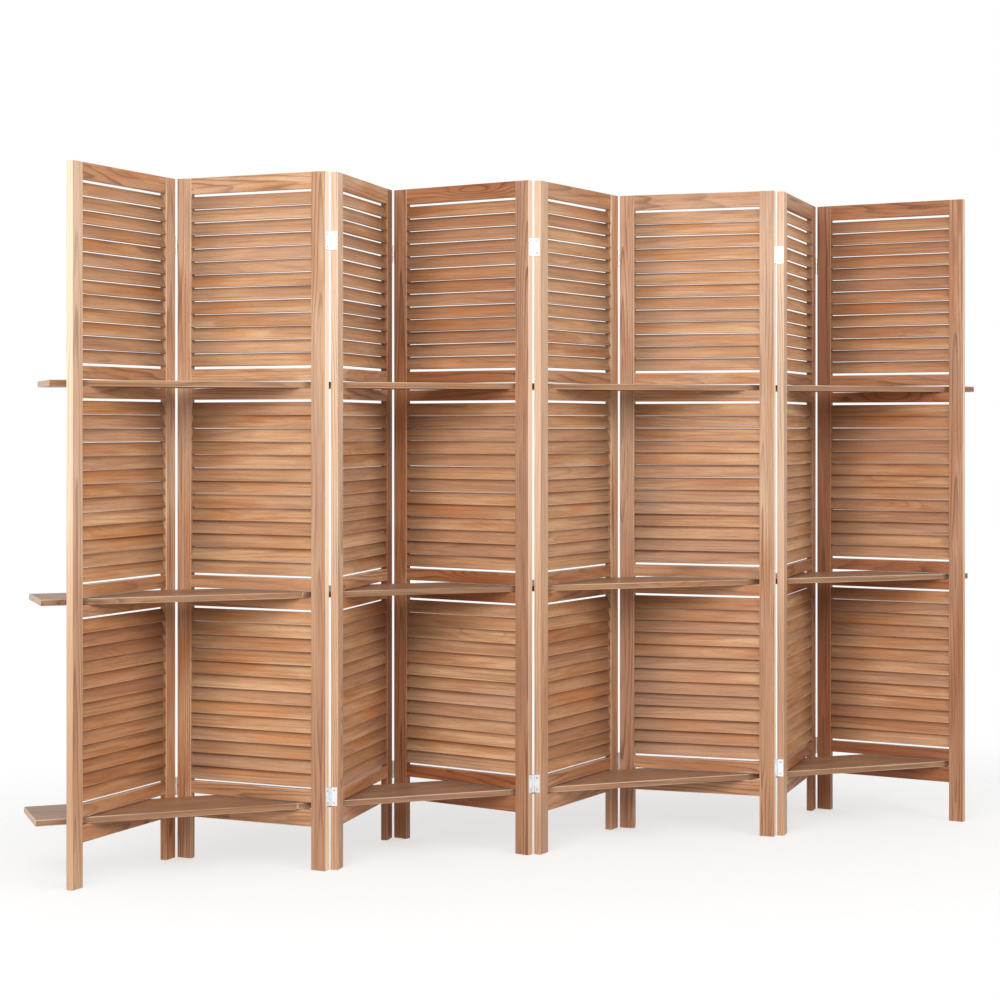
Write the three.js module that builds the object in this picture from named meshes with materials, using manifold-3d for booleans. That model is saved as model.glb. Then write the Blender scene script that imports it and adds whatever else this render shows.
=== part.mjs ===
// Folding screen: louvred wooden panels hinged in a zigzag, with three rows of loose shelves
// that lie in the slots of the panels. Lengths are in millimetres, +Z is up, the front is -Y.
import * as THREE from 'three';
import { mergeVertices } from 'three/addons/utils/BufferGeometryUtils.js';
import Module from 'manifold-3d';

const wasm = await Module();
wasm.setup();

// How far the two panels of each bay stand off the line of the row, in degrees
const bayAngles = [44, 54, 38.5, 49.5];
const panelCount = 2 * bayAngles.length;

// Panel frames
const panelHeight = 1700;
const panelWidth = 420;
const panelThickness = 18;
const stileWidth = 40;
const railThickness = 16;
const tenonLength = 15;
const legHeight = 105;
const bottomRailHeight = 41;
const overSlotRailHeight = 30.5;
const underSlotRailHeight = 28;
const topRailHeight = 40;

// Louvres
const louvrePitch = 32.8;
const louvreThickness = 5;
const louvreTilt = THREE.MathUtils.degToRad(23);
const louvreInset = 0.2;
const louvreEndRoom = 2;
const sideStripThickness = 1.5;
const linkThickness = 3.5;
const linkWidth = 5;
const linkLap = 8;
const linkBite = 0.9;

// Shelves
const levelNames = ['bottom', 'middle', 'top'];
const shelfThickness = 15;
const shelfPlay = 3;
const shelfEndGap = 1;
const shelfReach = 99;
const leftReaches = [73, 61, 41];

// Hinges
const hingeHeight = 45;
const hingeBelowTop = 168;
const hingeAboveFloor = 179;
const leafThickness = 1.2;
const leafInset = 1.2;
const leafSetback = 1.4;
const hingeGap = 4.2;
const pinOffset = 1.2;
const barrelRadius = 2.2;
const knuckleCount = 3;
const knuckleGap = 0.4;
const pinRadius = 1.1;
const pinHeadRadius = 1.8;
const pinHeadHeight = 0.8;
const screwHoleRadius = 1.8;
const screwSpacing = 30;

// Clearances
const seatGap = 0.3;
const slotClearance = 1;
const cutOverrun = 1;

// Facets
const barrelSides = 10;
const pinSides = 8;

// Sizes that follow
const slotHeight = shelfThickness + shelfPlay;
const wallOffset = panelThickness / 2 + pinOffset;
const grooveWidth = linkWidth + 2 * seatGap;
const grooveDepth = linkThickness + 2 * seatGap;
const louvreDepth = panelThickness - 2 * louvreInset;
const louvreWidth = (louvreDepth - louvreThickness * Math.cos(louvreTilt)) / Math.sin(louvreTilt);
const louvreRise = louvreWidth * Math.cos(louvreTilt) + louvreThickness * Math.sin(louvreTilt);
const shelfBandHeight = slotHeight + overSlotRailHeight;
const solidHeight = legHeight + bottomRailHeight + topRailHeight + levelNames.length * shelfBandHeight
  + (levelNames.length - 1) * underSlotRailHeight;
const sectionHeight = (panelHeight - solidHeight) / levelNames.length;
const louvreCount = 1 + Math.floor((sectionHeight - louvreRise - 2 * louvreEndRoom) / louvrePitch);

// Colours
const woodColour = 0xc79a66;
const louvreColour = 0xcfa674;
const shelfColour = 0xc4935d;
const steelColour = 0xd9dadb;

const wood = (name, colour) => new THREE.MeshStandardMaterial({
  name, color: colour, roughness: 0.6, metalness: 0, flatShading: true
});
const steel = (name) => new THREE.MeshStandardMaterial({
  name, color: steelColour, roughness: 0.3, metalness: 0.9, flatShading: true
});

// Solids made from three.js geometry, to be joined and cut
function solidOf(geometry) {
  geometry.deleteAttribute('normal');
  geometry.deleteAttribute('uv');
  const merged = mergeVertices(geometry);
  return new wasm.Manifold(new wasm.Mesh({
    numProp: 3,
    vertProperties: new Float32Array(merged.attributes.position.array),
    triVerts: new Uint32Array(merged.index.array)
  }));
}

function blockGeometry(one, other) {
  const low = one.map((value, axis) => Math.min(value, other[axis]));
  const high = one.map((value, axis) => Math.max(value, other[axis]));
  const size = high.map((value, axis) => value - low[axis]);
  const middle = high.map((value, axis) => (value + low[axis]) / 2);
  return new THREE.BoxGeometry(...size).translate(...middle);
}

const block = (one, other) => solidOf(blockGeometry(one, other));

// An upright cylinder on the axis through x and y
function upright(radius, x, y, low, high, sides) {
  const geometry = new THREE.CylinderGeometry(radius, radius, high - low, sides);
  geometry.rotateX(Math.PI / 2);
  return solidOf(geometry.translate(x, y, (low + high) / 2));
}

const joined = (solids) => solids.reduce((sum, next) => sum.add(next));
const cutBy = (solid, cutters) => cutters.reduce((rest, next) => rest.subtract(next), solid);

function meshOf(name, solid, material) {
  const { vertProperties, triVerts } = solid.getMesh();
  const geometry = new THREE.BufferGeometry();
  geometry.setAttribute('position', new THREE.BufferAttribute(new Float32Array(vertProperties), 3));
  geometry.setIndex(new THREE.BufferAttribute(new Uint32Array(triVerts), 1));
  geometry.computeVertexNormals();
  const mesh = new THREE.Mesh(geometry, material);
  mesh.name = name;
  return mesh;
}

// Heights of the rails, slots and louvred sections of every panel, from the floor up
function stackPanel() {
  const rails = [{ low: legHeight, high: legHeight + bottomRailHeight }];
  const slots = [];
  const sections = [];
  let height = legHeight + bottomRailHeight;
  levelNames.forEach((level, index) => {
    slots.push({ low: height, high: height + slotHeight });
    height += slotHeight;
    rails.push({ low: height, high: height + overSlotRailHeight });
    height += overSlotRailHeight;
    sections.push({ low: height, high: height + sectionHeight });
    height += sectionHeight;
    const isLast = index === levelNames.length - 1;
    const railHeight = isLast ? topRailHeight : underSlotRailHeight;
    rails.push({ low: height, high: height + railHeight });
    height += railHeight;
  });
  return { rails, slots, sections };
}

const { rails, slots, sections } = stackPanel();

// The two stiles, as the distance of the inner face and which way the opening lies from it
const stileFaces = [
  { face: stileWidth, inward: 1 },
  { face: panelWidth - stileWidth, inward: -1 }
];

// Each link joins the louvres over and under a shelf slot, in a groove of the stile
const linkSpans = sections.slice(1).map((section, index) => ({
  low: sections[index].high - linkLap,
  high: section.low + linkLap
}));

// Two stiles and seven rails, glued up as one frame, with grooves for the links
function panelFrame() {
  const halfStile = panelThickness / 2;
  const halfRail = railThickness / 2;
  const halfGroove = grooveWidth / 2;
  const stiles = [0, panelWidth - stileWidth].map((start) => block(
    [start, -halfStile, 0],
    [start + stileWidth, halfStile, panelHeight]
  ));
  const crossRails = rails.map(({ low, high }) => block(
    [stileWidth - tenonLength, -halfRail, low],
    [panelWidth - stileWidth + tenonLength, halfRail, high]
  ));
  const grooves = stileFaces.flatMap(({ face, inward }) => linkSpans.map(({ low, high }) => block(
    [face - inward * grooveDepth, -halfGroove, low - seatGap],
    [face, halfGroove, high + seatGap]
  )));
  return cutBy(joined([...stiles, ...crossRails]), grooves);
}

// One slat, long side up, leaning back towards its top
function louvre(height) {
  const sink = stileWidth + seatGap + sideStripThickness / 2;
  const geometry = new THREE.BoxGeometry(panelWidth - 2 * sink, louvreThickness, louvreWidth);
  geometry.rotateX(-louvreTilt);
  return solidOf(geometry.translate(panelWidth / 2, 0, height));
}

// The slats of a panel between their side strips, with links behind the shelf slots
function louvreSet() {
  const halfStrip = panelThickness / 2;
  const halfLink = linkWidth / 2;
  const slats = sections.flatMap(({ low, high }) => {
    const middle = (low + high) / 2;
    return Array.from({ length: louvreCount }, (_, index) => (
      louvre(middle + (index - (louvreCount - 1) / 2) * louvrePitch)
    ));
  });
  const strips = stileFaces.flatMap(({ face, inward }) => sections.map(({ low, high }) => block(
    [face + inward * seatGap, -halfStrip, low + seatGap],
    [face + inward * (seatGap + sideStripThickness), halfStrip, high - seatGap]
  )));
  const links = stileFaces.flatMap(({ face, inward }) => linkSpans.flatMap(({ low, high }) => {
    const inner = face - inward * (grooveDepth - seatGap);
    const bar = block([inner, -halfLink, low], [face - inward * seatGap, halfLink, high]);
    const bite = [[low, low + linkLap - seatGap], [high - linkLap + seatGap, high]];
    const feet = bite.map(([from, to]) => block(
      [inner, -halfLink, from],
      [face + inward * (seatGap + linkBite), halfLink, to]
    ));
    return [bar, ...feet];
  }));
  return joined([...slats, ...strips, ...links]);
}

// Heights of the three knuckles of a hinge whose foot is at low
function knuckles(low) {
  const height = (hingeHeight - (knuckleCount - 1) * knuckleGap) / knuckleCount;
  return Array.from({ length: knuckleCount }, (_, index) => {
    const start = low + index * (height + knuckleGap);
    return { low: start, high: start + height };
  });
}

const hingeFeet = {
  lower: hingeAboveFloor - hingeHeight / 2,
  upper: panelHeight - hingeBelowTop - hingeHeight / 2
};

// A leaf on the end of a stile. The pin's axis is at x and y in the panel, toStile is the way from
// it to the stile and toPanel the way from it to the panel's middle. The outer leaf has the first
// and last knuckle, the inner leaf the middle one.
function hingeLeaf({ x, y, toStile, toPanel, foot, isOuter, isBored }) {
  const outside = x + toStile * (hingeGap / 2 - seatGap);
  const inside = outside - toStile * leafThickness;
  const top = foot + hingeHeight;
  const own = knuckles(foot).filter((_, index) => (index % 2 === 0) === isOuter);
  const plate = block(
    [outside, y + toPanel * (pinOffset + leafSetback), foot],
    [inside, y + toPanel * (pinOffset + panelThickness - leafInset), top]
  );
  const arms = own.map(({ low, high }) => block(
    [outside, y, low],
    [inside, y + toPanel * (pinOffset + 2 * leafSetback), high]
  ));
  const barrels = own.map(({ low, high }) => upright(barrelRadius, x, y, low, high, barrelSides));
  const middle = y + toPanel * (pinOffset + (leafSetback + panelThickness - leafInset) / 2);
  const holes = [-1, 1].map((side) => {
    const hole = new THREE.CylinderGeometry(
      screwHoleRadius, screwHoleRadius, leafThickness + 2 * cutOverrun, pinSides
    );
    hole.rotateZ(Math.PI / 2);
    hole.translate((outside + inside) / 2, middle, foot + hingeHeight / 2 + side * screwSpacing / 2);
    return solidOf(hole);
  });
  const leaf = cutBy(joined([plate, ...arms, ...barrels]), holes);
  if (isBored) {
    const bore = pinRadius + seatGap;
    return leaf.subtract(upright(bore, x, y, foot - cutOverrun, top + cutOverrun, pinSides));
  }
  return leaf.add(upright(pinRadius, x, y, own[0].low, own.at(-1).high, pinSides));
}

// A loose pin with a head at each end
function loosePin(x, y, foot) {
  const top = foot + hingeHeight;
  const profile = [
    [0, foot - seatGap - pinHeadHeight],
    [pinHeadRadius, foot - seatGap - pinHeadHeight],
    [pinHeadRadius, foot - seatGap],
    [pinRadius, foot - seatGap],
    [pinRadius, top + seatGap],
    [pinHeadRadius, top + seatGap],
    [pinHeadRadius, top + seatGap + pinHeadHeight],
    [0, top + seatGap + pinHeadHeight]
  ].map(([radius, height]) => new THREE.Vector2(radius, height));
  const geometry = new THREE.LatheGeometry(profile, pinSides);
  geometry.rotateX(Math.PI / 2);
  return solidOf(geometry.translate(x, y, 0));
}

// The zigzag, as the place and turn of each panel and the hinge pins between them. The row starts
// at the front, and a panel's pins are on the side that its neighbour folds to.
function layRow() {
  const panels = [];
  const pins = [];
  const up = new THREE.Vector3(0, 0, 1);
  let pin = new THREE.Vector3();
  for (let index = 0; index < panelCount; index += 1) {
    const isRising = index % 2 === 0;
    const lean = THREE.MathUtils.degToRad(bayAngles[Math.floor(index / 2)]);
    const turn = isRising ? lean : -lean;
    const startSide = isRising ? 1 : -1;
    const start = new THREE.Vector3(-hingeGap / 2, startSide * wallOffset, 0);
    const end = new THREE.Vector3(panelWidth + hingeGap / 2, -startSide * wallOffset, 0);
    const place = pin.clone().sub(start.clone().applyAxisAngle(up, turn));
    pins.push(pin);
    pin = place.clone().add(end.clone().applyAxisAngle(up, turn));
    panels.push({ number: index + 1, lean, turn, place, startSide, start, end });
  }
  pins.push(pin);
  return { panels, pins };
}

const { panels, pins } = layRow();

// Distances behind the front pins at which a shelf clears the stiles of a panel on both sides
function slotReach({ lean }) {
  const across = Math.sin(lean);
  const along = Math.cos(lean);
  const face = hingeGap / 2 * across - wallOffset * along;
  const edge = stileWidth + slotClearance;
  return {
    near: face + edge * across + panelThickness / 2 * along,
    far: face + (panelWidth - edge) * across - panelThickness / 2 * along
  };
}

const shelfFront = Math.max(...panels.map((panel) => slotReach(panel).near));
const shelfBack = Math.min(...panels.map((panel) => slotReach(panel).far));

const rowStart = panels[0].place.x;
const lastPanel = panels.at(-1);
const rowEnd = lastPanel.place.x + panelWidth * Math.cos(lastPanel.lean);
const shelfCount = bayAngles.length;
const shelfRun = rowEnd - rowStart + shelfReach;
const shelfLength = (shelfRun - (shelfCount - 1) * shelfEndGap) / shelfCount;

function buildScreen() {
  const screen = new THREE.Group();
  const frame = panelFrame();
  const louvres = louvreSet();

  const groups = panels.map(({ number, turn, place }) => {
    const panel = new THREE.Group();
    panel.position.copy(place);
    panel.rotation.z = turn;
    panel.add(meshOf(`panel_${number}_frame`, frame, wood('panel frame', woodColour)));
    panel.add(meshOf(`panel_${number}_louvres`, louvres, wood('louvre', louvreColour)));
    screen.add(panel);
    return panel;
  });

  // The hinges between one pair of panels near the middle have loose pins
  const looseJunction = shelfCount - 1;
  for (let junction = 1; junction < panelCount; junction += 1) {
    const isLoose = junction === looseJunction;
    const left = panels[junction - 1];
    const right = panels[junction];
    Object.entries(hingeFeet).forEach(([level, foot]) => {
      const hinge = `hinge_${left.number}_${right.number}_${level}`;
      const outer = hingeLeaf({
        x: left.end.x, y: left.end.y, toStile: -1, toPanel: left.startSide,
        foot, isOuter: true, isBored: isLoose
      });
      const inner = hingeLeaf({
        x: right.start.x, y: right.start.y, toStile: 1, toPanel: -right.startSide,
        foot, isOuter: false, isBored: true
      });
      groups[junction - 1].add(meshOf(`${hinge}_outer_leaf`, outer, steel('hinge leaf')));
      groups[junction].add(meshOf(`${hinge}_inner_leaf`, inner, steel('hinge leaf')));
      if (isLoose) {
        const { x, y } = pins[junction];
        screen.add(meshOf(`${hinge}_pin`, loosePin(x, y, foot), steel('hinge pin')));
      }
    });
  }

  levelNames.forEach((level, row) => {
    const low = slots[row].low + seatGap;
    for (let index = 0; index < shelfCount; index += 1) {
      const start = rowStart - leftReaches[row] + index * (shelfLength + shelfEndGap);
      const plank = blockGeometry(
        [start, shelfFront, low],
        [start + shelfLength, shelfBack, low + shelfThickness]
      );
      const shelf = new THREE.Mesh(plank, wood('shelf', shelfColour));
      shelf.name = `shelf_${level}_${index + 1}`;
      screen.add(shelf);
    }
  });

  // The origin is on the floor, under the middle of the screen's outline
  const outline = new THREE.Box3().setFromObject(screen, true);
  const middle = outline.getCenter(new THREE.Vector3());
  screen.position.set(-middle.x, -middle.y, -outline.min.z);
  return screen;
}

const screen = buildScreen();

export default screen;
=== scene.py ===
import math
import random

import bmesh
import bpy
from mathutils import Matrix, Vector


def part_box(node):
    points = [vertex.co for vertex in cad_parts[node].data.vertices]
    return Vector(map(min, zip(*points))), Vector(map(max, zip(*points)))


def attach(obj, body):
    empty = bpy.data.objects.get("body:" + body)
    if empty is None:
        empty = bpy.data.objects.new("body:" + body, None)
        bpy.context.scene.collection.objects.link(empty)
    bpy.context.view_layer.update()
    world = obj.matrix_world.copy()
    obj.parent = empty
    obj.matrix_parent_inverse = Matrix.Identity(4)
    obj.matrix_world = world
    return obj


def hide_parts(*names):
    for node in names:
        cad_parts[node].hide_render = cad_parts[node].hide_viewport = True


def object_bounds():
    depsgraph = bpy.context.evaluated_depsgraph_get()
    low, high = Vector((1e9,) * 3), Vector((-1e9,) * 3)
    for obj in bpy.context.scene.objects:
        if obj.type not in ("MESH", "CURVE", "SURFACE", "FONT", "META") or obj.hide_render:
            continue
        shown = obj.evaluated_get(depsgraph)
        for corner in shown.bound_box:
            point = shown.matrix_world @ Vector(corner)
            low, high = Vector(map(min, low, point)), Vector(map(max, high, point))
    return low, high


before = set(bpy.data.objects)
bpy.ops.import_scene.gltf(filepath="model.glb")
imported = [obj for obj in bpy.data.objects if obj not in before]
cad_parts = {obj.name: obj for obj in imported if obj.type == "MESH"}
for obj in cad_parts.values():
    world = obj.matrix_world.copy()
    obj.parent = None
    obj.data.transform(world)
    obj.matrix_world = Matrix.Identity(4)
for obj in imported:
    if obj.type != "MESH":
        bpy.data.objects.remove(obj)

cadLow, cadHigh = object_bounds()
collection = bpy.context.scene.collection
print("frame loaded")

cameraView = {
    "place": (-1.978, -5.089, 1.082),
    "turn": 20.54,          # degrees to the right of straight back
    "sensor": 36,
    "lens": 75.5,
    "shiftUp": -0.0745,
}


def makeCamera(view):
    data = bpy.data.cameras.new("camera")
    data.sensor_width = view["sensor"]
    data.lens = view["lens"]
    data.shift_y = view["shiftUp"]
    camera = bpy.data.objects.new("camera", data)
    camera.location = view["place"]
    camera.rotation_euler = (math.radians(90), 0, -math.radians(view["turn"]))
    collection.objects.link(camera)
    bpy.context.scene.camera = camera


print("camera")
makeCamera(cameraView)
bpy.context.scene.view_settings.view_transform = "Standard"


# A shader socket that works in Python sums
class Wire:
    def __init__(self, finish, socket):
        self.finish = finish
        self.socket = socket

    # Another output of the same node
    def part(self, name):
        return Wire(self.finish, self.socket.node.outputs[name])

    def __add__(self, other):
        return self.finish.math("ADD", self, other)

    def __sub__(self, other):
        return self.finish.math("SUBTRACT", self, other)

    def __rsub__(self, other):
        return self.finish.math("SUBTRACT", other, self)

    def __mul__(self, other):
        return self.finish.math("MULTIPLY", self, other)

    def __truediv__(self, other):
        return self.finish.math("DIVIDE", self, other)

    __radd__ = __add__
    __rmul__ = __mul__


# The nodes of a material or of the world
class Finish:
    def __init__(self, owner):
        owner.use_nodes = True
        self.owner = owner
        self.tree = owner.node_tree
        self.tree.nodes.clear()

    # Any node: its settings come first, then what its sockets hold or are linked to
    def node(self, kind, settings=None, inputs=None, output=0):
        made = self.tree.nodes.new(kind)
        for key, value in (settings or {}).items():
            setattr(made, key, value)
        for key, value in (inputs or {}).items():
            if isinstance(value, Wire):
                self.tree.links.new(value.socket, made.inputs[key])
            else:
                made.inputs[key].default_value = value
        return Wire(self, made.outputs[output] if made.outputs else None)

    def math(self, operation, *values):
        return self.node("ShaderNodeMath", {"operation": operation}, dict(enumerate(values)))

    def scaled(self, vector, shares):
        return self.node("ShaderNodeVectorMath", {"operation": "MULTIPLY"}, {0: vector, 1: shares})

    # A noise that turns this often in a metre along each axis
    def noise(self, place, often, detail=2.0, roughness=0.5, distortion=0.0):
        return self.node("ShaderNodeTexNoise", None, {
            "Vector": self.scaled(place, often), "Scale": 1.0, "Detail": detail,
            "Roughness": roughness, "Distortion": distortion,
        })

    def mix(self, factor, one, other, blend="MIX"):
        settings = {"data_type": "RGBA", "blend_type": blend, "clamp_factor": True}
        return self.node("ShaderNodeMix", settings, {0: factor, 6: one, 7: other}, output=2)

    # 0 up to the low value, 1 from the high value, smooth between
    def step(self, value, low, high):
        settings = {"interpolation_type": "SMOOTHSTEP", "clamp": True}
        return self.node("ShaderNodeMapRange", settings, {"Value": value, 1: low, 2: high})

    def surface(self, inputs):
        shader = self.node("ShaderNodeBsdfPrincipled", None, inputs)
        self.node("ShaderNodeOutputMaterial", None, {"Surface": shader})
        return self.owner


def linear(share):
    return ((share + 0.055) / 1.055) ** 2.4 if share > 0.04 else share / 12.92


# Scene-linear colour of a colour written as on a screen
def colour(code):
    return (*(linear(int(code[place:place + 2], 16) / 255) for place in (1, 3, 5)), 1)


studio = {
    "sky": 1.0, "skyOnThings": 0.6,     # the white sky lights things less than it shows
    "floorRadius": 6, "floorSides": 96,
    "lamps": {
        "key": {"place": (-2.7, -3.7, 3.2), "aim": (-0.2, 0.0, 1.2), "size": 3.6, "power": 172},
        "fill": {"place": (2.4, -5.0, 3.1), "aim": (0.3, 0.0, 1.1), "size": 2.4, "power": 90},
    },
}


def makeStudio(settings):
    world = bpy.data.worlds.new("studio")
    bpy.context.scene.world = world
    air = Finish(world)
    onThings = air.node("ShaderNodeLightPath", output="Is Diffuse Ray")
    strength = settings["sky"] - onThings * (settings["sky"] - settings["skyOnThings"])
    sky = air.node("ShaderNodeBackground", None, {"Color": (1, 1, 1, 1), "Strength": strength})
    air.node("ShaderNodeOutputWorld", None, {"Surface": sky})
    for name, lamp in settings["lamps"].items():
        data = bpy.data.lights.new(name, "AREA")
        data.size = lamp["size"]
        data.energy = lamp["power"]
        light = bpy.data.objects.new(name, data)
        light.location = lamp["place"]
        towards = Vector(lamp["aim"]) - Vector(lamp["place"])
        light.rotation_euler = towards.to_track_quat("-Z", "Y").to_euler()
        collection.objects.link(light)


print("studio")
makeStudio(studio)

# Stained wood. It reads attributes of the boards: figure is the place in the log, with X along
# the grain; sides says how far a face is a worn edge with a painted highlight (X), end grain (Y)
# and pale, partly a paler finish and partly painted light (Z); tone is the shade of the board;
# depth goes from 0 at the front of a bay to 1 at its back. Ring is the width of a growth ring in
# metres. Foot says how far the lower part is darkened and warmed by the low colour, a painted
# shade, and the last setting how much painted shade darkens the back of a bay
woods = {
    "frame": {
        "light": "#d3aa88", "mid": "#bd9170", "dark": "#74492d", "warm": "#bd7d50",
        "cool": "#b48d78", "pale": "#fbdfc2", "end": "#9a6c48", "low": "#f3e7db",
        "ring": 0.0064, "contrast": 0.78, "streaks": 0.48, "roughness": 0.5,
        "foot": 1.0, "bayShade": 0.0,
    },
    "rails": {
        "light": "#d7a982", "mid": "#c29068", "dark": "#74492d", "warm": "#c37d49",
        "cool": "#b88b6e", "pale": "#fbdfc2", "end": "#9a6c48", "low": "#f3e7db",
        "ring": 0.0064, "contrast": 0.7, "streaks": 0.45, "roughness": 0.5,
        "foot": 1.0, "bayShade": 0.0,
    },
    "slats": {
        "light": "#d2a47a", "mid": "#b98960", "dark": "#75462a", "warm": "#bd7b47",
        "cool": "#ac8268", "pale": "#fbdfc2", "end": "#9a6c48", "low": "#f3e7db",
        "ring": 0.0078, "contrast": 0.32, "streaks": 0.4, "roughness": 0.52,
        "foot": 0.0, "bayShade": 0.45,
    },
    "shelf": {
        "light": "#b18560", "mid": "#9a6f4b", "dark": "#5c3b25", "warm": "#a66f42",
        "cool": "#8e6a54", "pale": "#fbdfc2", "end": "#e2c29c", "low": "#f3e7db",
        "ring": 0.0080, "contrast": 0.55, "streaks": 0.42, "roughness": 0.42,
        "foot": 0.0, "bayShade": 0.0,
    },
}

# The noises of the wood: how often they turn in a metre along and across the grain, their
# detail, their roughness and, for one, how far it is bent
grain = {
    "wander": ((1.7, 15, 15), 2.0, 0.45),
    "ripple": ((10, 70, 70), 2.0, 0.5),
    "spread": ((0.8, 45, 45), 1.0, 0.4),
    "uneven": ((3, 22, 22), 2.0, 0.5),
    "fibre": ((11, 640, 640), 3.0, 0.62),
    "streak": ((3.0, 170, 170), 3.0, 0.6),
    "pores": ((130, 2100, 2100), 1.0, 0.5),
    "warmth": ((3.4, 20, 20), 3.0, 0.55),
    "chill": ((4.6, 16, 16), 2.0, 0.5, 0.4),
    "shade": ((2.6, 34, 34), 3.0, 0.55),
    "rosy": ((0.7, 3, 3), 1.0, 0.5),
}
knots = {"often": (2.6, 13, 13), "reach": 0.4, "rare": (0.62, 0.66)}

# Where each of them starts to show and where it is full; late is the dark part of a ring
shows = {
    "late": (0.25, 0.9), "nextRing": (0.9, 1.0), "uneven": (0.32, 0.66), "fibre": (0.42, 0.8),
    "streak": (0.5, 0.72), "pores": (0.6, 0.72), "warmth": (0.44, 0.64), "chill": (0.5, 0.66),
    "shade": (0.34, 0.66), "rosy": (0.42, 0.6), "rubbedAndLit": (0.3, 0.6),
}

# How far the rings are pushed aside, in metres; by how much of a ring their spacing changes; and
# how much is left of the faintest ring
push = {"wander": 0.03, "ripple": 0.0026, "knot": 0.024, "spread": 0.9}
faintest = 0.25

# How strongly each colour covers the ones below it
cover = {
    "warm": 0.75, "rosyWarm": 0.45, "cool": 0.3, "rosyCool": 0.4, "fibre": 0.38, "pores": 0.4,
    "end": 0.75, "ringsOnEnd": 0.4, "rubbedAndLit": 0.4, "ringsOnPale": 0.4,
}
# painted light: the pale sides are paler higher up, from the least at the floor to more at the top
paintedTopLight = {"least": 0.5, "more": 0.45, "low": 0.25, "high": 1.1}      # from the floor up
# painted shade: the lower part is darkened and warmed, fully up to the first height and not at all
# from the second
paintedLowShade = {"full": 0.5, "gone": 0.95}     # from the floor up
# painted shade: the slats darken from the first depth to the second; lift paints the rest of the
# bay a little lighter
bayDepth = {"from": 0.52, "to": 0.95, "lift": 0.12}
toneShares = (0.1, 0.16, 0.2)       # what a step of tone does to red, green and blue
relief = {"pores": 0.5, "rings": 0.16, "fibre": 0.3, "strength": 0.35, "distance": 0.0005}
sheen = {"pores": 0.12, "fibre": 0.1, "rubbedAndLit": 0.08, "ior": 1.45}


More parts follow.
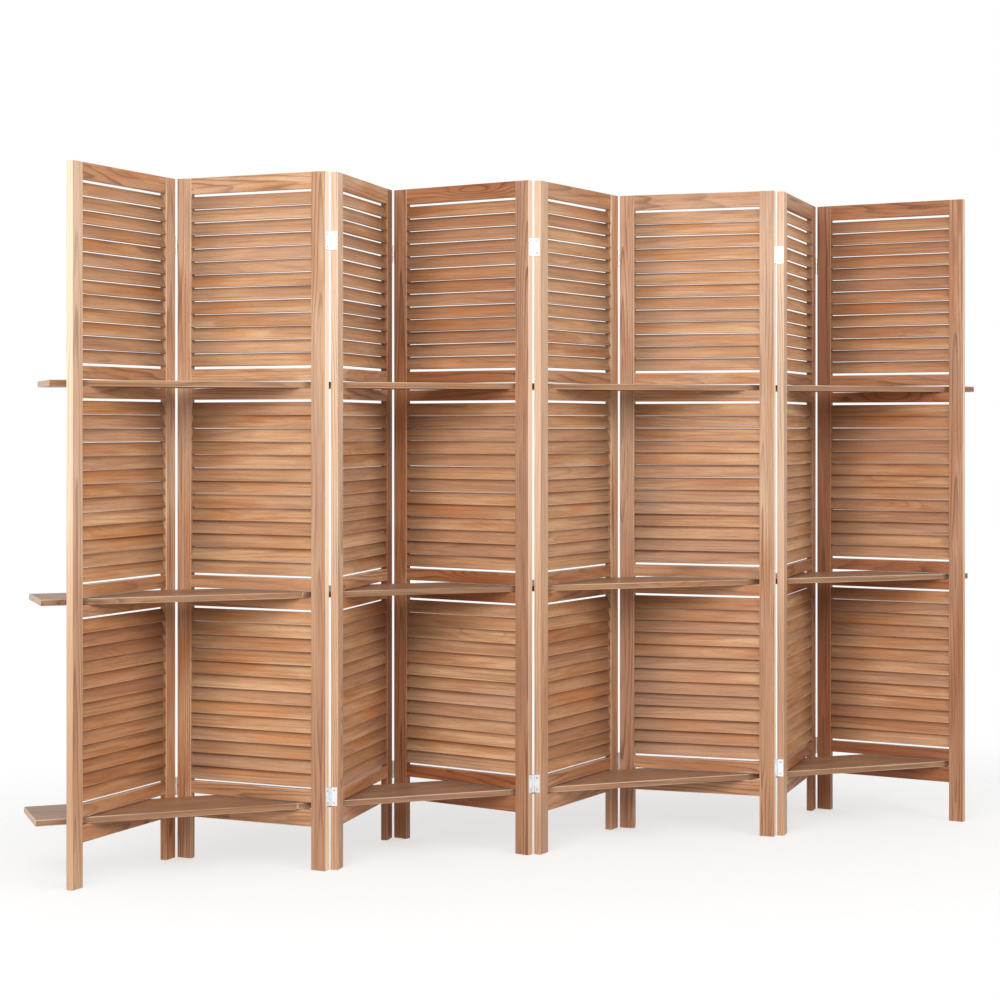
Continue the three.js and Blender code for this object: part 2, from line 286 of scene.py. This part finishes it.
def woodFinish(name, wood):
    finish = Finish(bpy.data.materials.new(name))
    figure = finish.node("ShaderNodeAttribute", {"attribute_name": "figure"}, output="Vector")
    sides = finish.node("ShaderNodeAttribute", {"attribute_name": "sides"}, output="Vector")
    tone = finish.node("ShaderNodeAttribute", {"attribute_name": "tone"}, output="Fac")
    depth = finish.node("ShaderNodeAttribute", {"attribute_name": "depth"}, output="Fac")
    place = finish.node("ShaderNodeTexCoord", output="Object")
    y = finish.node("ShaderNodeSeparateXYZ", None, {0: figure}, output="Y")
    z = y.part("Z")
    edge = finish.node("ShaderNodeSeparateXYZ", None, {0: sides}, output="X")
    end = edge.part("Y")
    pale = edge.part("Z")
    height = finish.node("ShaderNodeSeparateXYZ", None, {0: place}, output="Z")
    shades = {key: colour(code) for key, code in wood.items() if isinstance(code, str)}

    def pattern(key):
        return finish.noise(figure, *grain[key])

    def shown(key, value):
        return finish.step(value, *shows[key])

    # growth rings round the heart of the log, wandering along the grain and round hidden knots
    wander = pattern("wander") - 0.5
    ripple = pattern("ripple") - 0.5
    knot = finish.node("ShaderNodeTexVoronoi", None, {
        "Vector": finish.scaled(figure, knots["often"]), "Scale": 1.0,
    }, output="Distance")
    rare = finish.node("ShaderNodeSeparateColor", None, {0: knot.part("Color")}, output="Red")
    curl = (1 - finish.step(knot, 0.0, knots["reach"])) * finish.step(rare, *knots["rare"])
    radius = finish.math("SQRT", y * y + z * z) + wander * push["wander"]
    radius = radius + ripple * push["ripple"] + curl * push["knot"]
    spread = pattern("spread") - 0.5
    phase = finish.math("FRACT", radius / wood["ring"] + spread * push["spread"])
    late = shown("late", phase) - shown("nextRing", phase)
    uneven = shown("uneven", pattern("uneven"))
    rings = late * late * (faintest + (1 - faintest) * uneven)

    # fibres, dark streaks and open pores
    fibre = pattern("fibre")
    streak = shown("streak", pattern("streak"))
    pores = shown("pores", pattern("pores"))

    # slow changes of the stain
    warmth = shown("warmth", pattern("warmth"))
    chill = shown("chill", pattern("chill"))
    shade = pattern("shade")
    rosy = shown("rosy", pattern("rosy"))

    base = finish.mix(shown("shade", shade), shades["mid"], shades["light"])
    base = finish.mix(warmth * (cover["warm"] - rosy * cover["rosyWarm"]), base, shades["warm"])
    base = finish.mix(chill * cover["cool"] + rosy * cover["rosyCool"], base, shades["cool"])
    base = finish.mix(rings * wood["contrast"], base, shades["dark"])
    base = finish.mix(streak * wood["streaks"], base, shades["dark"])
    base = finish.mix(shown("fibre", fibre) * cover["fibre"], base, shades["dark"])
    base = finish.mix(pores * cover["pores"], base, shades["dark"])
    base = finish.mix(end * (cover["end"] - rings * cover["ringsOnEnd"]), base, shades["end"])

    # rubbed edges, paler and with a painted highlight; pale sides of the stiles, partly a paler
    # finish and partly painted light, paler higher up; and painted shade that darkens and warms
    # the lower part
    rubbedAndLit = edge * shown("rubbedAndLit", shade)
    base = finish.mix(rubbedAndLit * cover["rubbedAndLit"], base, shades["pale"])
    litAbove = finish.step(height, paintedTopLight["low"], paintedTopLight["high"])
    paleAndLit = pale * (paintedTopLight["least"] + paintedTopLight["more"] * litAbove)
    base = finish.mix(paleAndLit * (1 - cover["ringsOnPale"] * rings), base, shades["pale"])
    lower = (1 - finish.step(height, paintedLowShade["full"], paintedLowShade["gone"])) * wood["foot"]
    base = finish.mix(lower, base, shades["low"], "MULTIPLY")

    # each board has its own shade, and the darker ones are redder; painted shade darkens the
    # slats in the depth of a bay, and the rest of the bay is painted a little lighter
    bayShade = finish.step(depth, bayDepth["from"], bayDepth["to"]) * wood["bayShade"]
    kept = 1.0 + wood["bayShade"] * bayDepth["lift"] - bayShade
    own = {channel: (1.0 + tone * share) * kept for channel, share in enumerate(toneShares)}
    shift = finish.node("ShaderNodeCombineColor", None, own)
    base = finish.mix(1.0, base, shift, "MULTIPLY")

    rise = 0.5 - pores * relief["pores"] - rings * relief["rings"] + fibre * relief["fibre"]
    bump = finish.node("ShaderNodeBump", None, {
        "Height": rise, "Strength": relief["strength"], "Distance": relief["distance"],
    })
    rough = wood["roughness"] + pores * sheen["pores"] + (fibre - 0.5) * sheen["fibre"]
    rough = rough - rubbedAndLit * sheen["rubbedAndLit"]
    return finish.surface({
        "Base Color": base, "Roughness": rough, "Normal": bump, "IOR": sheen["ior"],
    })


# Zinc plated steel, with clouds of a duller tone and fine brushing
steel = {"colour": "#eeeff0", "dull": "#cfcfcd", "roughness": 0.34}
screwSteel = {"colour": "#a9a8a2", "dull": "#7f7d77", "roughness": 0.3}
plating = {
    "clouds": ((110, 110, 110), 3.0, 0.6), "cloudy": (0.42, 0.72), "cover": 0.5, "dullness": 0.16,
    "brushing": ((4200, 4200, 200), 2.0, 0.5), "brushed": 0.1, "strength": 0.15, "distance": 0.0001,
}


def steelFinish(name, settings):
    finish = Finish(bpy.data.materials.new(name))
    place = finish.node("ShaderNodeTexCoord", output="Object")
    cloud = finish.noise(place, *plating["clouds"])
    brushed = finish.noise(place, *plating["brushing"])
    dull = finish.step(cloud, *plating["cloudy"])
    base = finish.mix(dull * plating["cover"], colour(settings["colour"]), colour(settings["dull"]))
    rough = settings["roughness"] + dull * plating["dullness"] + brushed * plating["brushed"]
    bump = finish.node("ShaderNodeBump", None, {
        "Height": brushed, "Strength": plating["strength"], "Distance": plating["distance"],
    })
    return finish.surface({"Base Color": base, "Metallic": 1.0, "Roughness": rough, "Normal": bump})


floorLook = {
    "colour": "#fdfcfb", "roughness": 0.9, "clouds": ((0.5, 0.5, 0.5), 2.0), "cloudy": 0.05,
    "spread": (0.6, 1.0, 1.0), "fadeFrom": 0.4, "fadeTo": 1.9,      # it fades away round the screen
    "strength": 0.42,
}


def floorFinish(name, settings):
    finish = Finish(bpy.data.materials.new(name))
    place = finish.node("ShaderNodeTexCoord", output="Object")
    cloud = finish.noise(place, *settings["clouds"])
    near = finish.scaled(place, settings["spread"])
    far = finish.node("ShaderNodeVectorMath", {"operation": "LENGTH"}, {0: near}, output="Value")
    rough = settings["roughness"] + cloud * settings["cloudy"]
    seen = (1 - finish.step(far, settings["fadeFrom"], settings["fadeTo"])) * settings["strength"]
    return finish.surface({
        "Base Color": colour(settings["colour"]), "Roughness": rough, "Alpha": seen,
    })


print("finishes")
frameWood = woodFinish("frame wood", woods["frame"])
railWood = woodFinish("rail wood", woods["rails"])
slatWood = woodFinish("slat wood", woods["slats"])
shelfWood = woodFinish("shelf wood", woods["shelf"])
plateSteel = steelFinish("hinge steel", steel)
headSteel = steelFinish("screw steel", screwSteel)
floorPaint = floorFinish("floor", floorLook)


# A piece that moves with its body and stands in for the CAD nodes it replaces
def makePiece(mesh, name, material, body, replaced):
    data = bpy.data.meshes.new(name)
    mesh.to_mesh(data)
    mesh.free()
    data.materials.append(material)
    piece = bpy.data.objects.new(name, data)
    collection.objects.link(piece)
    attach(piece, body)
    if replaced:
        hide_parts(*replaced)
    return piece


# Boards. A board is made with its grain along X, its width along Y and its thickness along Z.
# A face counts as flat, end grain or the outside where its normal points that far along an axis
facing = {"flat": 0.999, "end": 0.7, "outside": 0.6}


def roundEdges(mesh, corners, rounding, segments):
    edges = list({edge for corner in corners for edge in corner.link_edges})
    bmesh.ops.bevel(
        mesh, geom=edges, offset=rounding, offset_type="OFFSET", segments=segments,
        profile=0.5, affect="EDGES", clamp_overlap=True, material=-1,
    )


def boardMesh():
    mesh = bmesh.new()
    mesh.verts.layers.float_vector.new("figure")
    mesh.verts.layers.float.new("tone")
    mesh.verts.layers.int.new("placed")
    mesh.loops.layers.float_vector.new("sides")
    return mesh


# Takes out the mark that tells the corners of earlier boards from new ones
def closeBoards(mesh):
    mesh.verts.layers.int.remove(mesh.verts.layers.int["placed"])
    return mesh


# How a board was cut from its log: how far off the heart, how it was turned, how it runs out
def sawCut(chance, cut):
    aside = chance.uniform(-cut["aside"], cut["aside"])
    depth = chance.uniform(*cut["depth"])
    turn = math.radians(chance.uniform(-cut["turn"], cut["turn"]))
    runOut = math.radians(chance.uniform(-cut["runOut"], cut["runOut"]))
    along = Matrix.Translation((chance.uniform(0, 30), aside, depth))
    return along @ Matrix.Rotation(turn, 4, "X") @ Matrix.Rotation(runOut, 4, "Y")


# Pale is how pale the faces are, and palest how pale the one on the outside is, partly a paler
# finish and partly painted light. Outside is -1 or 1 along the width of the board, or 0 where no
# side differs
def addBoard(mesh, size, place, cut, chance, shade=0.0, pale=0.0, palest=0.0, outside=0):
    figure = mesh.verts.layers.float_vector["figure"]
    tone = mesh.verts.layers.float["tone"]
    placed = mesh.verts.layers.int["placed"]
    sides = mesh.loops.layers.float_vector["sides"]
    corners = bmesh.ops.create_cube(mesh, size=1)["verts"]
    bmesh.ops.scale(mesh, vec=size, verts=corners)
    roundEdges(mesh, corners, cut["rounding"], cut["segments"])
    verts = [vert for vert in mesh.verts if not vert[placed]]
    faces = {face for vert in verts for face in vert.link_faces}
    log = sawCut(chance, cut)
    own = shade + chance.uniform(-cut["tone"], cut["tone"])
    for vert in verts:
        vert[figure] = log @ vert.co
        vert[tone] = own
        vert[placed] = 1
    for face in faces:
        face.normal_update()
        flat = max(abs(share) for share in face.normal) > facing["flat"]
        face.smooth = not flat
        isEnd = abs(face.normal.x) > facing["end"]
        paleAndLit = palest if outside * face.normal.y > facing["outside"] else pale
        for loop in face.loops:
            loop[sides] = (0.0 if flat else 1.0, 1.0 if isEnd else 0.0, paleAndLit)
    bmesh.ops.transform(mesh, matrix=place, verts=verts)


# Panels, from the sizes of one panel and the place of each in the frame
panel = {
    "count": 8,
    "width": 0.420, "thickness": 0.018, "stileWidth": 0.040, "railThickness": 0.016,
    "legHeight": 0.105, "bottomRail": 0.041, "slot": 0.018, "overSlotRail": 0.0305,
    "underSlotRail": 0.028, "topRail": 0.040, "levels": 3,
    "housing": 0.002,       # how far rails and slats go into the stiles
    # how light or dark the boards of each panel are: left stile, right stile, rails; then the
    # slats of the three sections from the floor up, whose shades also hold some painted shade that
    # makes the lower sections darker
    "frameShades": (
        (0.0, 1.2, 0.1), (0.3, 0.3, 0.9), (0.4, -2.8, 0.7), (-1.6, -1.0, -3.1),
        (0.0, 1.3, -0.6), (0.0, 0.1, 0.2), (0.3, -1.4, -1.4), (-2.8, -1.0, -3.0),
    ),
    "slatShades": (
        (-1.7, 0.4, -0.2), (0.5, 0.0, 0.5), (-0.2, 0.3, 0.3), (0.5, -0.3, -1.1),
        (-1.0, 0.8, 0.1), (-0.7, -0.5, 0.5), (0.4, 1.1, 0.8), (-0.8, -1.1, -1.7),
    ),
    # how pale the front and back of the left and the right stile are, and then their outsides;
    # partly a paler finish and partly painted light
    "paleAndHighlit": (
        (0.4, 0.04, 1.0, 1.0), (0.06, 0.1, 0.4, 2.0), (0.46, 0.0, 0.36, 0.6), (0.0, 0.0, 0.3, 1.2),
        (0.34, 0.0, 0.55, 0.6), (0.05, 0.1, 0.4, 2.0), (0.42, 0.0, 0.36, 0.6), (0.0, 0.0, 0.3, 1.0),
    ),
}
stileCut = {
    "rounding": 0.0012, "segments": 2,
    "aside": 0.016, "depth": (0.012, 0.05), "turn": 25, "runOut": 1.6, "tone": 0.2,
}
railCut = {
    "rounding": 0.0010, "segments": 2,
    "aside": 0.02, "depth": (0.02, 0.07), "turn": 40, "runOut": 3.0, "tone": 0.4,
}
slat = {
    "pitch": 0.0328, "thickness": 0.005, "width": 0.03327, "count": 13,
    "tilts": (23, 20.8, 22.7),      # in the low, the middle and the top section
    "tiltPlay": 0.9, "heightPlay": 0.0004, "levelPlay": 0.09,
    "rounding": 0.0009, "segments": 2,
    "aside": 0.03, "depth": (0.03, 0.10), "turn": 50, "runOut": 1.8, "tone": 0.55,
}


# A panel is turned so that its rectangle fills its box in the frame; even ones turn the other way
def panelPlace(number):
    low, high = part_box(f"panel_{number}_frame")
    across, deep = high.x - low.x, high.y - low.y
    width, thickness = panel["width"], panel["thickness"]
    turn = math.atan2(width * deep - thickness * across, width * across - thickness * deep)
    if number % 2 == 0:
        turn = -turn
    middle = (low + high) / 2
    return Matrix.Translation((middle.x, middle.y, 0)) @ Matrix.Rotation(turn, 4, "Z")


# Heights of the rails and of the louvred sections between them
def panelStack(height):
    solid = panel["legHeight"] + panel["bottomRail"] + panel["topRail"]
    solid += panel["levels"] * (panel["slot"] + panel["overSlotRail"])
    solid += (panel["levels"] - 1) * panel["underSlotRail"]
    section = (height - solid) / panel["levels"]
    at = panel["legHeight"] + panel["bottomRail"]
    rails = [(panel["legHeight"], at)]
    sections = []
    for level in range(panel["levels"]):
        at += panel["slot"]
        rails.append((at, at + panel["overSlotRail"]))
        at += panel["overSlotRail"]
        sections.append((at, at + section))
        at += section
        last = level == panel["levels"] - 1
        railHeight = panel["topRail"] if last else panel["underSlotRail"]
        rails.append((at, at + railHeight))
        at += railHeight
    return rails, sections


onEdge = Matrix.Rotation(math.radians(90), 4, "X")        # grain along, width up
panelHeight = cadHigh.z - cadLow.z
rails, sections = panelStack(panelHeight)
clearWidth = panel["width"] - 2 * panel["stileWidth"] + 2 * panel["housing"]


def makeStiles(number, place):
    chance = random.Random(f"stiles {number}")
    mesh = boardMesh()
    size = (panelHeight, panel["stileWidth"], panel["thickness"])
    paleAndHighlit = panel["paleAndHighlit"][number - 1]
    shades = panel["frameShades"][number - 1]
    for index, side in enumerate((-1, 1)):
        middle = side * (panel["width"] - panel["stileWidth"]) / 2
        # grain up, width along the panel, thickness through it
        stand = Matrix(((0, 1, 0, middle), (0, 0, 1, 0), (1, 0, 0, panelHeight / 2), (0, 0, 0, 1)))
        pale, palest = paleAndHighlit[index], paleAndHighlit[index + 2]
        addBoard(mesh, size, place @ stand, stileCut, chance, shades[index], pale, palest, side)
    makePiece(closeBoards(mesh), f"panel_{number}_stiles", frameWood, f"panel_{number}",
              [f"panel_{number}_frame"])


def makeRails(number, place):
    chance = random.Random(f"rails {number}")
    mesh = boardMesh()
    shade = panel["frameShades"][number - 1][2]
    for low, high in rails:
        lie = Matrix.Translation((0, 0, (low + high) / 2)) @ onEdge
        size = (clearWidth, high - low, panel["railThickness"])
        addBoard(mesh, size, place @ lie, railCut, chance, shade)
    makePiece(closeBoards(mesh), f"panel_{number}_rails", railWood, f"panel_{number}",
              [f"panel_{number}_frame"])


def makeSlats(number, place):
    chance = random.Random(f"slats {number}")
    unlevel = random.Random(f"levels {number}")
    mesh = boardMesh()
    size = (clearWidth, slat["width"], slat["thickness"])
    for (low, high), shade, lean in zip(sections, panel["slatShades"][number - 1], slat["tilts"]):
        for step in range(slat["count"]):
            height = (low + high) / 2 + (step - (slat["count"] - 1) / 2) * slat["pitch"]
            height += chance.uniform(-slat["heightPlay"], slat["heightPlay"])
            tilt = math.radians(lean + chance.uniform(-slat["tiltPlay"], slat["tiltPlay"]))
            slope = math.radians(unlevel.uniform(-slat["levelPlay"], slat["levelPlay"]))
            lie = Matrix.Rotation(slope, 4, "Y") @ Matrix.Rotation(-tilt, 4, "X") @ onEdge
            lie = Matrix.Translation((0, 0, height)) @ lie
            addBoard(mesh, size, place @ lie, slat, chance, shade)
    front, back = (corner.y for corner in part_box(f"panel_{number}_frame"))
    depth = mesh.verts.layers.float.new("depth")
    for vert in mesh.verts:
        vert[depth] = (vert.co.y - front) / (back - front)
    makePiece(closeBoards(mesh), f"panel_{number}_slats", slatWood, f"panel_{number}",
              [f"panel_{number}_louvres"])


print("panels")
panelPlaces = {number: panelPlace(number) for number in range(1, panel["count"] + 1)}
for number, place in panelPlaces.items():
    makeStiles(number, place)
    makeRails(number, place)
    makeSlats(number, place)

# Shelves
shelf = {
    "levels": ("bottom", "middle", "top"), "count": 4,
    "rounding": 0.0018, "segments": 3,
    "aside": 0.05, "depth": (0.05, 0.12), "turn": 12, "runOut": 1.5, "tone": 0.3,
}


def makeShelf(level, number):
    node = f"shelf_{level}_{number}"
    low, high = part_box(node)
    mesh = boardMesh()
    addBoard(mesh, high - low, Matrix.Translation((low + high) / 2), shelf, random.Random(node))
    makePiece(closeBoards(mesh), f"{node}_plank", shelfWood, node, [node])


print("shelves")
for level in shelf["levels"]:
    for number in range(1, shelf["count"] + 1):
        makeShelf(level, number)

# Hinges. A leaf is made with the pin at the origin, X towards its stile and Y along the stile's end
hinge = {
    "height": 0.045, "middles": {"lower": 0.179, "upper": panelHeight - 0.168},
    "gap": 0.0042,          # between two panels
    "pinOffset": 0.0012,    # how far the pins are off the face of the panels
    "seat": 0.0003,         # how far the leaves are off the stiles, and pin heads off the knuckles
    "leafThickness": 0.0012, "leafStart": 0.0026, "leafEnd": 0.0180, "rootEnd": 0.0039,
    "edge": 0.00018, "barrelRadius": 0.0022, "barrelSides": 24, "knuckles": 3, "knuckleGap": 0.0004,
    "pinRadius": 0.0011, "boreRadius": 0.0013, "headRadius": 0.0018, "headHeight": 0.0008,
    "domeTurns": (0, 20, 40, 60, 80),
    "screwSpacing": 0.030, "screwRadius": 0.0025, "screwProud": 0.00035, "screwBevel": 0.0002,
    "screwTurns": {-1: -20, 1: 60},     # how the lower and the upper screw were left, in degrees
    "recess": 0.0032, "recessWidth": 0.0007, "recessDepth": 0.0005,
    "weld": 1e-7, "smoothUnder": 4e-6,      # faces smaller than that many square metres are smooth
}


def knuckleSpans():
    rise = (hinge["height"] + hinge["knuckleGap"]) / hinge["knuckles"]
    foot = -hinge["height"] / 2
    return [(foot + rise * step, foot + rise * (step + 1) - hinge["knuckleGap"])
            for step in range(hinge["knuckles"])]


def addBox(mesh, low, high, rounding, segments=1):
    size = Vector(high) - Vector(low)
    corners = bmesh.ops.create_cube(mesh, size=1)["verts"]
    bmesh.ops.scale(mesh, vec=size, verts=corners)
    bmesh.ops.translate(mesh, vec=(Vector(low) + Vector(high)) / 2, verts=corners)
    roundEdges(mesh, corners, rounding, segments)


# A profile of radii and heights, turned round Z
def addTurned(mesh, profile, sides):
    points = [mesh.verts.new((radius, 0, height)) for radius, height in profile]
    edges = [mesh.edges.new(pair) for pair in zip(points, points[1:])]
    bmesh.ops.spin(
        mesh, geom=points + edges, cent=(0, 0, 0), axis=(0, 0, 1), angle=math.tau, steps=sides,
        use_merge=True,
    )
    bmesh.ops.remove_doubles(mesh, verts=mesh.verts, dist=hinge["weld"])


def finishSteel(mesh, place, name, material, body, replaced):
    bmesh.ops.transform(mesh, matrix=place, verts=mesh.verts)
    bmesh.ops.recalc_face_normals(mesh, faces=mesh.faces)
    for face in mesh.faces:
        face.smooth = len(face.verts) == 4 and face.calc_area() < hinge["smoothUnder"]
    makePiece(mesh, name, material, body, replaced)


def makeLeaf(name, place, body, isOuter):
    side = "outer" if isOuter else "inner"
    mesh = bmesh.new()
    outside = hinge["gap"] / 2 - hinge["seat"]
    inside = outside - hinge["leafThickness"]
    foot, top = -hinge["height"] / 2, hinge["height"] / 2
    radius, bore, edge = hinge["barrelRadius"], hinge["boreRadius"], hinge["edge"]
    addBox(mesh, (inside, hinge["leafStart"], foot), (outside, hinge["leafEnd"], top), edge, 2)
    for step, (low, high) in enumerate(knuckleSpans()):
        if (step % 2 == 0) == isOuter:
            tube = [(bore, low), (radius - edge, low), (radius, low + edge), (radius, high - edge),
                    (radius - edge, high), (bore, high), (bore, low)]
            addTurned(mesh, tube, hinge["barrelSides"])
            addBox(mesh, (bore, 0, low), (outside, hinge["rootEnd"], high), edge)
            addBox(mesh, (inside, bore, low), (outside, hinge["rootEnd"], high), edge)
    finishSteel(mesh, place, f"{name}_{side}_plate", plateSteel, body, [f"{name}_{side}_leaf"])


def newOnes(geometry, kind):
    return [item for item in geometry if isinstance(item, kind)]


# A sunk cross: a grid of nine squares without its corners. Its outline is handed back
def sinkCross(mesh):
    size, half = hinge["recess"], hinge["recessWidth"] / 2
    grid = bmesh.ops.create_grid(mesh, x_segments=3, y_segments=3, size=size / 2)["verts"]
    for vert in grid:
        for axis in (0, 1):
            if abs(vert.co[axis]) < size / 3:       # the inner lines
                vert.co[axis] = math.copysign(half, vert.co[axis])
    faces = {face for vert in grid for face in vert.link_faces}
    corners = [face for face in faces if min(map(abs, face.calc_center_median()[:2])) > half]
    bmesh.ops.delete(mesh, geom=corners, context="FACES_ONLY")
    loose = [vert for vert in grid if vert.is_valid and not vert.link_faces]
    bmesh.ops.delete(mesh, geom=loose, context="VERTS")
    kept = [vert for vert in grid if vert.is_valid]
    outline = list({edge for vert in kept for edge in vert.link_edges if edge.is_boundary})
    cross = [face for face in faces if face.is_valid]
    sunk = bmesh.ops.extrude_face_region(mesh, geom=cross)["geom"]
    bottom = newOnes(sunk, bmesh.types.BMVert)
    bmesh.ops.translate(mesh, vec=(0, 0, -hinge["recessDepth"]), verts=bottom)
    bmesh.ops.delete(mesh, geom=cross, context="FACES_ONLY")
    return outline


# Countersunk screws with a cross recess, two to a leaf
def makeScrews(name, place, body):
    mesh = bmesh.new()
    radius, bevel, proud = hinge["screwRadius"], hinge["screwBevel"], hinge["screwProud"]
    face = hinge["gap"] / 2 - hinge["seat"] - hinge["leafThickness"]
    across = (hinge["leafStart"] + hinge["leafEnd"]) / 2
    for side, degrees in hinge["screwTurns"].items():
        before = set(mesh.verts)
        outline = sinkCross(mesh)
        rim = bmesh.ops.create_circle(
            mesh, cap_ends=False, segments=len(outline), radius=radius - bevel,
        )["verts"]
        rimEdges = list({edge for vert in rim for edge in vert.link_edges})
        bmesh.ops.bridge_loops(mesh, edges=outline + rimEdges)
        for drop, grow in ((bevel, bevel), (proud, 0)):
            skirt = bmesh.ops.extrude_edge_only(mesh, edges=rimEdges)["geom"]
            rim = newOnes(skirt, bmesh.types.BMVert)
            rimEdges = [edge for edge in newOnes(skirt, bmesh.types.BMEdge)
                        if all(vert in rim for vert in edge.verts)]
            widen = 1 + grow / radius
            bmesh.ops.scale(mesh, vec=(widen, widen, 1), verts=rim)
            bmesh.ops.translate(mesh, vec=(0, 0, -drop), verts=rim)
        new = [vert for vert in mesh.verts if vert not in before]
        turn = Matrix.Rotation(math.radians(degrees), 4, "Z")
        point = Matrix(((0, 0, -1, face - proud), (0, 1, 0, across),
                        (1, 0, 0, side * hinge["screwSpacing"] / 2), (0, 0, 0, 1)))
        bmesh.ops.transform(mesh, matrix=point @ turn, verts=new)
    finishSteel(mesh, place, name, headSteel, body, [])


def makePin(name, place, body, replaced):
    mesh = bmesh.new()
    top = hinge["height"] / 2 + hinge["seat"]
    radius, head, rise = hinge["pinRadius"], hinge["headRadius"], hinge["headHeight"]
    dome = [(head * math.cos(math.radians(turn)), top + rise * math.sin(math.radians(turn)))
            for turn in hinge["domeTurns"]]
    profile = [(0, top + rise), *reversed(dome), (radius, top)]
    profile += [(across, -height) for across, height in reversed(profile)]
    addTurned(mesh, profile, hinge["barrelSides"])
    finishSteel(mesh, place, name, plateSteel, body, replaced)


# The pins are on the side that the neighbour folds to: back for the left end of odd panels
def hingePlace(number, atRight, height):
    side = 1 if number % 2 else -1
    if atRight:
        side = -side
    way = 1 if atRight else -1
    x = way * (panel["width"] + hinge["gap"]) / 2
    y = side * (panel["thickness"] / 2 + hinge["pinOffset"])
    local = Matrix(((-way, 0, 0, x), (0, -side, 0, y), (0, 0, 1, height), (0, 0, 0, 1)))
    return panelPlaces[number] @ local


print("hinges")
for left in range(1, panel["count"]):
    right = left + 1
    for level, height in hinge["middles"].items():
        name = f"hinge_{left}_{right}_{level}"
        isLoose = f"{name}_pin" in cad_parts
        outer = hingePlace(left, True, height)
        inner = hingePlace(right, False, height)
        makeLeaf(name, outer, f"panel_{left}", True)
        makeLeaf(name, inner, f"panel_{right}", False)
        makeScrews(f"{name}_outer_screws", outer, f"panel_{left}")
        makeScrews(f"{name}_inner_screws", inner, f"panel_{right}")
        pinBody = "hinge_3_4_pins" if isLoose else f"panel_{left}"
        makePin(f"{name}_spindle", outer, pinBody, [f"{name}_pin"] if isLoose else [])


def makeFloor(settings):
    mesh = bmesh.new()
    bmesh.ops.create_circle(mesh, cap_ends=True, radius=settings["floorRadius"],
                            segments=settings["floorSides"])
    data = bpy.data.meshes.new("floor")
    mesh.to_mesh(data)
    mesh.free()
    data.materials.append(floorPaint)
    floor = bpy.data.objects.new("floor", data)
    collection.objects.link(floor)


print("floor")
makeFloor(studio)

print("done")
